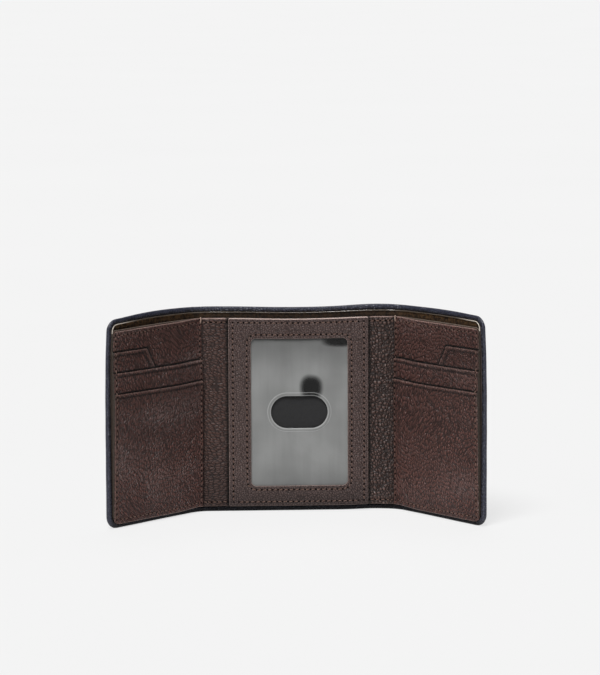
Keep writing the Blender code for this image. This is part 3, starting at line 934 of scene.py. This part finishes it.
CREASE_SHADE = 0.6          # darkness of the painted shade in a hem's pressed line
MOUTH_BURNISH_AND_HIGHLIGHT = 0.24        # burnish and painted highlight of a pocket's turned mouth
RIM_BURNISH_AND_HIGHLIGHT = 0.42          # burnish and painted highlight of any other edge
DEEP_SHADE = rgb(5, 2, 1)
FLOW_SCALE = 26.0           # how often the grain's direction wanders
SPOT_SOFTNESS = 0.75
# places and sizes of the painted dark reflections on the film
DARK_REFLECTION_SPOTS = (((0.0064, 0.0640), (0.0052, 0.0062)), ((0.0205, 0.0882), (0.0078, 0.0034)))

needle_hole = hole_material()
# navy: near black over its lowest 4 mm, painted shade at the foot
navy = leather("navy_pebbled", rgb(16, 16, 24), rgb(46, 47, 61), rgb(66, 68, 84),
               pebble=0.0014, relief=0.00035, roughness=0.42, foot=0.05)
# brown: lighter towards the bottom, painted light from the floor
brown = leather("brown_pebbled", rgb(50, 29, 25), rgb(102, 67, 60), rgb(150, 122, 114),
                pebble=0.00106, relief=0.00095, roughness=0.46, stretch=(1.0, 0.52, 1.0), flow=0.042,
                coarse=0.8, lines=pocket_lines, foot=1.16, foot_height=0.080)
# frame: darker over its lowest 22 mm, painted shade
frame_brown = leather("brown_smooth", rgb(50, 35, 32), rgb(88, 70, 66), rgb(190, 166, 158),
                      pebble=0.0011, relief=0.00034, roughness=0.46, lines=panel_lines, foot=0.52,
                      foot_height=0.022)
binding_brown = leather("bound_edge", rgb(36, 29, 25), rgb(60, 50, 43), rgb(68, 58, 50),
                        pebble=0.0010, relief=0.00015, roughness=0.55)
gusset_coarse = leather("brown_coarse", rgb(36, 24, 20), rgb(88, 67, 61), rgb(176, 150, 142),
                        pebble=0.0016, relief=0.00085, roughness=0.44, coarse=0.8, lines=gusset_lines)
# left gusset: darker towards the bottom, painted shade
gusset_wavy = leather("brown_wavy", rgb(34, 18, 14), rgb(74, 50, 43), rgb(176, 150, 142),
                      pebble=0.0012, relief=0.00050, roughness=0.52, stretch=(0.5, 1.0, 1.0), flow=0.024,
                      lines=gusset_lines, foot=0.62, foot_height=0.045)
GUSSET_LEATHER = {"left": gusset_wavy, "right": gusset_coarse}
lining = woven("ribbed_lining", rgb(8, 4, 2), rgb(112, 82, 52), rgb(110, 98, 90),
               yarn=0.0007, relief=0.00006, roughness=0.75)
backing = woven("dark_backing", rgb(36, 36, 37), rgb(52, 52, 53), rgb(56, 56, 56),
                yarn=0.0006, relief=0.00004, roughness=0.7)
painted_edge = painted_edge_material()
vinyl = film_material()
brown_thread = thread_material("waxed_thread", rgb(74, 50, 41), rgb(128, 96, 80))
pale_thread = thread_material("pale_thread", rgb(120, 92, 78), rgb(190, 164, 148))
navy_thread = thread_material("navy_thread", rgb(30, 31, 42), rgb(62, 64, 80))


# ---------------------------------------------------------------- placing pieces on bodies

def point_on_shell(side, a):
    return tuple(fold(np.array([[side * a, HEIGHT / 2, 0.0]]))[0])


def fit(piece, nodes=(), part="centre", label="", side=1):
    """Fixes a piece to the centre. A spine's or flap's piece only has its transform baked in; it is not bent
    over a crease.
    """
    if part == "centre":
        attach(piece, "centre")
    else:
        before, crease = ("centre", CREASE_A) if part == "spine" else (label + "_spine", CREASE_B)
        point_on_shell(side, crease - FOLD_REACH)
        point_on_shell(side, crease + FOLD_REACH)
        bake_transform(piece)
    if nodes:
        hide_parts(*nodes)


SHARP = 0.00001             # radius of a corner that isn't rounded


def lay_sheet(name, first, last, heights, front, back, edge, material, side=1, cut=(), corner=SHARP,
              top_corner=None, round_first=False):
    """A sheet from first to last along the wallet, between two heights that include its rounded edge."""
    bottom, top = heights[0] + edge, heights[1] - edge
    rows = stations(bottom, top, corner_rows(bottom, top, corner) if corner > SHARP else ())
    columns = stations(first, last)
    span = rounded_span(first, last, bottom, top, corner, top_corner, round_first)
    return make_sheet(name, span, rows, (columns - first) / (last - first), front, back, edge, material,
                      side, cut)


def centre_sheet(name, half, heights, front, back, *look, **ends):
    """A sheet across the centre, shaped alike on both sides of the middle."""
    on_both = (lambda s, z: front(np.abs(s), z)), (lambda s, z: back(np.abs(s), z))
    return lay_sheet(name, -half, half, heights, *on_both, *look, round_first=True, **ends)


# ---------------------------------------------------------------- the wallet's pieces

def make_skin(name, node, heights, front, back, edge, material, last, corner):
    """A sheet over the whole wallet, in five stretches that meet between the creases."""
    shape = (heights, front, back, edge, material)
    piece = centre_sheet(name + "_centre", CENTRE_CUT, *shape, cut=("first", "last"))
    fit(piece, ["centre_" + node])
    for label, side in SIDES:
        piece = lay_sheet(name + "_" + label + "_spine", CENTRE_CUT, SPLIT, *shape, side, ("first", "last"))
        fit(piece, [label + "_spine_" + node], "spine", label, side)
        piece = lay_sheet(name + "_" + label + "_flap", SPLIT, last - edge, *shape, side, ("first",),
                          corner - edge)
        fit(piece, [label + "_flap_" + node], "flap", label, side)


def make_painted_bead(name, path, part="centre", label="", side=1):
    """A thin glossy bead along the lining's edge."""
    path = np.array(path)
    ahead = np.gradient(path, axis=0)
    ahead = ahead / np.linalg.norm(ahead, axis=1, keepdims=True)
    depths = lining_front(np.abs(path[:, 0]), path[:, 1])
    points = []
    for place, way, depth in zip(path, ahead, depths):
        for k in range(STITCH_SIDES):
            angle = 2 * math.pi * k / STITCH_SIDES
            across = np.array([-way[1], way[0]]) * BEAD_RADIUS * math.cos(angle)
            points.append((*(place + across), depth + BEAD_RADIUS * math.sin(angle)))
    piece = make_piece(name, np.array(points), tube_faces(0, len(path)), np.ones(len(points)), painted_edge,
                       side)
    fit(piece, (), part, label, side)


def make_painted_edge():
    top, last = LINING_HIGH[1] - BEAD_RADIUS, LINING_HIGH[0] - BEAD_RADIUS
    corner = SHELL_CORNER - RIM_WIDTH - BEAD_RADIUS
    make_painted_bead("lining_bead_centre", [(s, top) for s in np.linspace(-CENTRE_CUT, CENTRE_CUT, 60)])
    over_spine = [(s, top) for s in np.linspace(CENTRE_CUT, SPLIT, 20)]
    over_flap = [(s, top) for s in np.linspace(SPLIT, last - corner, 70)]
    for angle in np.linspace(0, math.pi / 2, 12)[1:]:
        over_flap.append((last - corner * (1 - math.sin(angle)), top - corner * (1 - math.cos(angle))))
    over_flap += [(last, z) for z in np.linspace(top - corner, LINING_LOW[1] + corner, 90)[1:]]
    for label, side in SIDES:
        for part, path in (("spine", over_spine), ("flap", over_flap)):
            make_painted_bead("lining_bead_" + label + "_" + part, path, part, label, side)


def make_dividers():
    """The note compartment's inner wall, behind the identity pocket and behind each flap's panels."""
    edge = (DIVIDER[1] - DIVIDER[0]) / 2
    shape = ((PANEL_BOTTOM, PANEL_TOP), level(DIVIDER[1]), level(DIVIDER[0]), edge, lining)
    half = flat_box("centre_divider")[1][0] - edge
    piece = centre_sheet("divider_lining_centre", half, *shape, corner=DIVIDER_CORNER - edge)
    fit(piece, ["centre_divider"])
    first, last = (corner[0] for corner in flat_box("right_flap_divider"))
    for label, side in SIDES:
        piece = lay_sheet("divider_lining_" + label + "_flap", first + edge, last - edge, *shape, side,
                          corner=PANEL_CORNER - edge, top_corner=PANEL_TOP_CORNER - edge)
        fit(piece, [label + "_flap_divider"], "flap", label, side)


def make_gussets():
    """Pebbled leather between the identity pocket and each flap, tucked under both: wavy-grained on the left,
    coarse-grained on the right.
    """
    thickness = GUSSET[1] - GUSSET[0]
    for label, side in SIDES:
        shape = ((PANEL_BOTTOM, PANEL_TOP), gusset_front, below(gusset_front, thickness), thickness / 2,
                 GUSSET_LEATHER[label], side)
        piece = lay_sheet("gusset_leather_" + label + "_inner", GUSSET_START, SPLIT, *shape,
                          ("first", "last"))
        fit(piece, [label + "_gusset"], "spine", label, side)
        piece = lay_sheet("gusset_leather_" + label + "_outer", SPLIT, GUSSET_END, *shape, ("first",))
        fit(piece, (), "flap", label, side)


def make_flap_panels():
    layers = (("base", BASE, base_front, PANEL_BOTTOM, PANEL_TOP, PANEL_CORNER, PANEL_TOP_CORNER),
              ("middle", MIDDLE, middle_front, MIDDLE_FOOT, MIDDLE_OPENING, POCKET_TOP_CORNER,
               POCKET_TOP_CORNER),
              ("front", FRONT, front_pocket_front, PANEL_BOTTOM, FRONT_OPENING, PANEL_CORNER,
               POCKET_TOP_CORNER))
    for label, side in SIDES:
        for kind, depths, front, bottom, top, corner, top_corner in layers:
            edge = (depths[1] - depths[0]) / 2
            back = front_pocket_back if kind == "front" else below(front, depths[1] - depths[0])
            piece = lay_sheet(label + "_" + kind + "_leather", FLAP_PANEL_START + edge, FLAP_PANEL_END - edge,
                              (bottom, top), front, back, edge, brown, side, corner=corner - edge,
                              top_corner=top_corner - edge)
            node = label + ("_flap_base" if kind == "base" else "_" + kind + "_pocket")
            fit(piece, [node], "flap", label, side)
        make_tab_pocket(label, side)
        make_edge_binding(label, side)


def make_tab_pocket(label, side):
    """The tab pocket's mouth is short, and its inner side slants out to the full width."""
    thickness = TAB[1] - TAB[0]
    edge = thickness / 2
    bottom, top = TAB_FOOT + edge, TAB_OPENING - edge
    first, last = FLAP_PANEL_START + edge, FLAP_PANEL_END - edge

    def span(z):
        gap = max(0.0, TAB_CORNER - (top - z))
        cut = TAB_CORNER - math.sqrt(max(0.0, TAB_CORNER ** 2 - gap ** 2))
        return max(first, TAB_TIP - TAB_SLANT * (top - z) + cut * TAB_SLANT), last - cut

    columns = stations(TAB_TIP, last)
    rows = stations(bottom, top, corner_rows(bottom, top, TAB_CORNER))
    piece = make_sheet(label + "_tab_leather", span, rows, (columns - TAB_TIP) / (last - TAB_TIP), tab_front,
                       below(tab_front, thickness), edge, brown, side)
    fit(piece, [label + "_tab_pocket"], "flap", label, side)


def make_edge_binding(label, side):
    """Turned leather that closes the outer side of the stacked panels."""
    first, last = FLAP_PANEL_END + BINDING_GAP, FLAP_PANEL_END + BINDING_WIDTH

    def front(a, z):
        return flap_surface(np.full_like(a, FLAP_SEAM_END + 0.0008), z) - 0.00035

    bottom, top = PANEL_BOTTOM + PANEL_CORNER + BINDING_EDGE, PANEL_TOP - PANEL_TOP_CORNER - BINDING_EDGE
    rows = stations(bottom, top, [FRONT_OPENING, MIDDLE_OPENING, TAB_OPENING])
    span = rounded_span(first + BINDING_EDGE, last - BINDING_EDGE, bottom, top, SHARP)
    piece = make_sheet(label + "_edge_binding", span, rows, np.linspace(0, 1, 3), front,
                       level(LINING_HIGH[2] + 0.0002), BINDING_EDGE, binding_brown, side)
    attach(piece, label + "_flap")


def make_identity_pocket():
    thickness = ID_FRAME[1] - ID_FRAME[0]
    edge = thickness / 2
    middle, half_height = (0.0, (PANEL_BOTTOM + PANEL_TOP) / 2), (PANEL_TOP - PANEL_BOTTOM) / 2
    outer = rounded_loop(middle, (FRAME_HALF - edge, half_height - edge), FRAME_CORNER - edge)
    inner = rounded_loop(WINDOW_MIDDLE, (WINDOW_HALF[0] + edge, WINDOW_HALF[1] + edge), WINDOW_CORNER + edge)
    piece = make_ring("id_frame_leather", outer, inner, stations(0.0, FRAME_WIDTH) / FRAME_WIDTH, frame_front,
                      below(frame_front, thickness), edge, frame_brown)
    fit(piece, ["id_frame"])

    half = (FILM_HIGH[0] - WINDOW_MIDDLE[0] - FILM_EDGE, (FILM_HIGH[1] - FILM_LOW[1]) / 2 - FILM_EDGE)
    outer = rounded_loop(WINDOW_MIDDLE, half, PANEL_CORNER)
    shares = stations(0.0, FILM_WIDTH)[::-1] / -FILM_WIDTH + 1
    piece = make_ring("id_window_vinyl", outer, hole_loop(outer), shares, film_front,
                      below(film_front, 2 * FILM_EDGE), FILM_EDGE, vinyl)
    fit(piece, ["id_window_film"])

    heights = (PANEL_BOTTOM + BACKING_INSET, PANEL_TOP - BACKING_INSET)
    piece = centre_sheet("id_backing_cloth", BACKING_HALF - BACKING_EDGE, heights, level(BACKING[1]),
                         level(BACKING[0]), BACKING_EDGE, backing, corner=BACKING_CORNER - BACKING_EDGE)
    fit(piece, ["id_backing"])


def hole_loop(outer):
    """The thumb hole's outline, one point towards each point of the film's outline."""
    radius = HOLE_HALF[1] + FILM_EDGE
    straight = HOLE_HALF[0] - HOLE_HALF[1]
    way = outer - np.array(WINDOW_MIDDLE)
    way = way / np.linalg.norm(way, axis=1, keepdims=True)
    on_side = np.abs(way[:, 0]) * radius <= np.abs(way[:, 1]) * straight
    to_side = radius / np.maximum(np.abs(way[:, 1]), 1e-9)
    round_part = np.sqrt(np.maximum(radius ** 2 - (straight * way[:, 1]) ** 2, 0))
    to_end = straight * np.abs(way[:, 0]) + round_part
    return np.array(WINDOW_MIDDLE) + way * np.where(on_side, to_side, to_end)[:, None]


def make_identity_seams():
    first, last = PITCH - FRAME_SEAM, FRAME_SEAM - PITCH
    loop = rounded_loop(WINDOW_MIDDLE, (WINDOW_HALF[0] + WINDOW_SEAM, WINDOW_HALF[1] + WINDOW_SEAM),
                        WINDOW_CORNER + WINDOW_SEAM)
    paths = {
        "left": [(-FRAME_SEAM, SEAM_BOTTOM), (-FRAME_SEAM, SEAM_TOP)],
        "right": [(FRAME_SEAM, SEAM_BOTTOM), (FRAME_SEAM, SEAM_TOP)],
        "top": [(first, SEAM_TOP), (last, SEAM_TOP)],
        "bottom": [(first, SEAM_BOTTOM), (last, SEAM_BOTTOM)],
        "window": np.vstack([loop, loop[:1]]),
    }
    for kind, path in paths.items():
        piece = make_seam("id_" + kind + "_seam", [path], frame_front, brown_thread)
        fit(piece, ["id_" + kind + "_seam_thread"])


def make_flap_seams(label, side):
    first, last = FLAP_SEAM_START, FLAP_SEAM_END
    paths = {
        "top": [(first + PITCH, SEAM_TOP), (last - PITCH, SEAM_TOP)],
        "bottom": [(first + PITCH, SEAM_BOTTOM), (last - PITCH, SEAM_BOTTOM)],
        "outer": [(last, SEAM_BOTTOM), (last, SEAM_TOP)],
        "inner": [(first, SEAM_BOTTOM), (first, SEAM_TOP + PITCH * 0.55)],
    }
    for kind, path in paths.items():
        radius = HOLE_RADIUS if kind == "inner" else SMALL_HOLE_RADIUS
        piece = make_seam(label + "_" + kind + "_seam", [path], flap_surface, brown_thread, side,
                          hole_radius=radius)
        fit(piece, [label + "_" + kind + "_seam_thread"], "flap", label, side)


def make_wrap_stitch(label, side):
    """The stitch that goes over the panel's upper edge, where the inner seam ends."""
    middle = FLAP_SEAM_START - 0.0006
    face, behind = base_front(middle, PANEL_TOP - 0.002), BASE[0]
    # heights from the panel's upper edge, and depths: up the face, over the edge and down behind it
    route = ((-0.0026, face), (-0.0012, face + 0.0002), (-0.0002, face + 0.0001),
             (0.0003, (face + behind) / 2), (-0.0002, behind - 0.0001), (-0.0010, behind))
    points = []
    for height, depth in route:
        lean = (depth - behind) / (face - behind)
        for k in range(STITCH_SIDES):
            angle = 2 * math.pi * k / STITCH_SIDES
            reach = WRAP_RADIUS * math.sin(angle)
            points.append((middle + WRAP_RADIUS * math.cos(angle), PANEL_TOP + height + reach * (1 - lean),
                           depth + reach * lean))
    piece = make_piece(label + "_wrap_stitch", np.array(points), tube_faces(0, len(route)),
                       np.zeros(len(points)), pale_thread, side)
    fit(piece, (), "flap", label, side)


def make_gusset_seams(label, side):
    stretches = (("inner", "spine", FRAME_HALF + 0.0008, SPLIT - 0.0002),
                 ("outer", "flap", SPLIT + 0.0002, FLAP_PANEL_START - 0.0006))
    for kind, part, first, last in stretches:
        paths = [[(first, z), (last, z)] for z in (SEAM_BOTTOM, SEAM_TOP)]
        piece = make_seam(label + "_gusset_" + kind + "_seam", paths, gusset_front, brown_thread, side)
        fit(piece, (), part, label, side)


def make_outside_seam(part, path, label="", side=1):
    """The tonal seam on the shell's outside, where the panels are sewn on."""
    def surface(s, z):
        return shell_back(np.abs(s), z)

    name = "outside_seam_" + (label + "_" if label else "") + part
    piece = make_seam(name, [path], surface, navy_thread, side, -1)
    fit(piece, (), part, label, side)


def make_seams():
    line, free = OUTSIDE_SEAM, FREE_EDGE - OUTSIDE_SEAM
    round_flap = [(SPLIT, line), (free - 0.001, line), (free, line + 0.001), (free, HEIGHT - line)]
    make_identity_seams()
    for label, side in SIDES:
        make_flap_seams(label, side)
        make_wrap_stitch(label, side)
        make_gusset_seams(label, side)
        make_outside_seam("flap", round_flap, label, side)
        make_outside_seam("spine", [(CENTRE_CUT, line), (SPLIT, line)], label, side)
    make_outside_seam("centre", [(-CENTRE_CUT, line), (CENTRE_CUT, line)])


# ---------------------------------------------------------------- stage, light and camera

FLOOR_SIZE = 160.0
FLOOR_GLOW = 0.71
HORIZON_LIGHT = 0.70
ZENITH_LIGHT = 0.15
CAMERA_DISTANCE = 1.600
CAMERA_AZIMUTH = -2.93
CAMERA_ELEVATION = 7.22
CAMERA_ROLL = -0.20
CAMERA_AIM = (0.001, 0.0, 0.0891)
CAMERA_LENS = 167.6


def direction(azimuth, elevation):
    """The way to a place seen at these angles, in degrees. Azimuth 0 is in front of the wallet."""
    a, e = math.radians(azimuth), math.radians(elevation)
    return np.array([math.sin(a) * math.cos(e), -math.cos(a) * math.cos(e), math.sin(e)])


def look_along(item, way):
    item.rotation_mode = "QUATERNION"
    item.rotation_quaternion = Vector(way.tolist()).to_track_quat("-Z", "Y")


def make_floor():
    """A pale floor. Most of its brightness is its own, so the wallet darkens it only where it stands."""
    g = Graph("floor")
    where = g.node("NewGeometry").outputs["Position"]
    colour = g.mix(g.noise(where, 3.0, 1.0), (0.15, 0.15, 0.15, 1), (0.16, 0.16, 0.16, 1))
    g.feed(g.shader, {"Base Color": colour, "Roughness": 1.0, "Specular IOR Level": 0.0,
                      "Emission Color": (1, 1, 1, 1), "Emission Strength": FLOOR_GLOW})
    bpy.ops.mesh.primitive_grid_add(size=FLOOR_SIZE, x_subdivisions=8, y_subdivisions=8)
    floor = bpy.context.object
    floor.name = "studio_floor"
    floor.data.materials.append(g.material)


def make_world():
    """An even studio: bright round the horizon, dimmer overhead."""
    world = bpy.data.worlds.new("studio")
    bpy.context.scene.world = world
    world.use_nodes = True
    tree = world.node_tree
    way = tree.nodes.new("ShaderNodeTexCoord")
    split = tree.nodes.new("ShaderNodeSeparateXYZ")
    fade = tree.nodes.new("ShaderNodeMapRange")
    fade.inputs["From Max"].default_value = 0.3
    fade.inputs["To Min"].default_value = HORIZON_LIGHT
    fade.inputs["To Max"].default_value = ZENITH_LIGHT
    tree.links.new(way.outputs["Generated"], split.inputs[0])
    tree.links.new(split.outputs[2], fade.inputs["Value"])
    tree.links.new(fade.outputs[0], tree.nodes["Background"].inputs["Strength"])


def make_light(name, azimuth, elevation, width, strength):
    """A soft light, the same all over the floor. Its width is the angle that it fills."""
    lamp = bpy.data.lights.new(name, "SUN")
    lamp.angle = math.radians(width)
    lamp.energy = strength
    light = bpy.data.objects.new(name, lamp)
    bpy.context.scene.collection.objects.link(light)
    way = direction(azimuth, elevation)
    light.location = way
    look_along(light, -way)


def make_camera():
    camera = bpy.data.objects.new("camera", bpy.data.cameras.new("camera"))
    bpy.context.scene.collection.objects.link(camera)
    camera.data.lens = CAMERA_LENS
    camera.data.sensor_width = 36.0
    camera.data.clip_start = 0.01
    camera.data.clip_end = 400.0
    back = direction(CAMERA_AZIMUTH, CAMERA_ELEVATION)
    camera.location = np.array(CAMERA_AIM) + back * CAMERA_DISTANCE
    look_along(camera, -back)
    camera.rotation_quaternion = camera.rotation_quaternion @ Quaternion((0, 0, 1), math.radians(CAMERA_ROLL))
    bpy.context.scene.camera = camera


def main():
    bpy.context.scene.view_settings.view_transform = "Standard"
    make_camera()
    make_world()
    make_light("key_light", azimuth=-22, elevation=60, width=26, strength=3.8)
    make_light("back_light", azimuth=172, elevation=62, width=40, strength=0.7)
    make_floor()
    make_skin("shell_leather", "shell", (0.0, HEIGHT), shell_front, shell_back, SHELL_EDGE,
              navy, FREE_EDGE, SHELL_CORNER)
    make_skin("note_lining", "lining", (LINING_LOW[1], LINING_HIGH[1]), lining_front,
              lining_back, LINING_EDGE, lining, LINING_HIGH[0], SHELL_CORNER - RIM_WIDTH)
    make_painted_edge()
    make_dividers()
    make_gussets()
    make_flap_panels()
    make_identity_pocket()
    make_seams()


main()
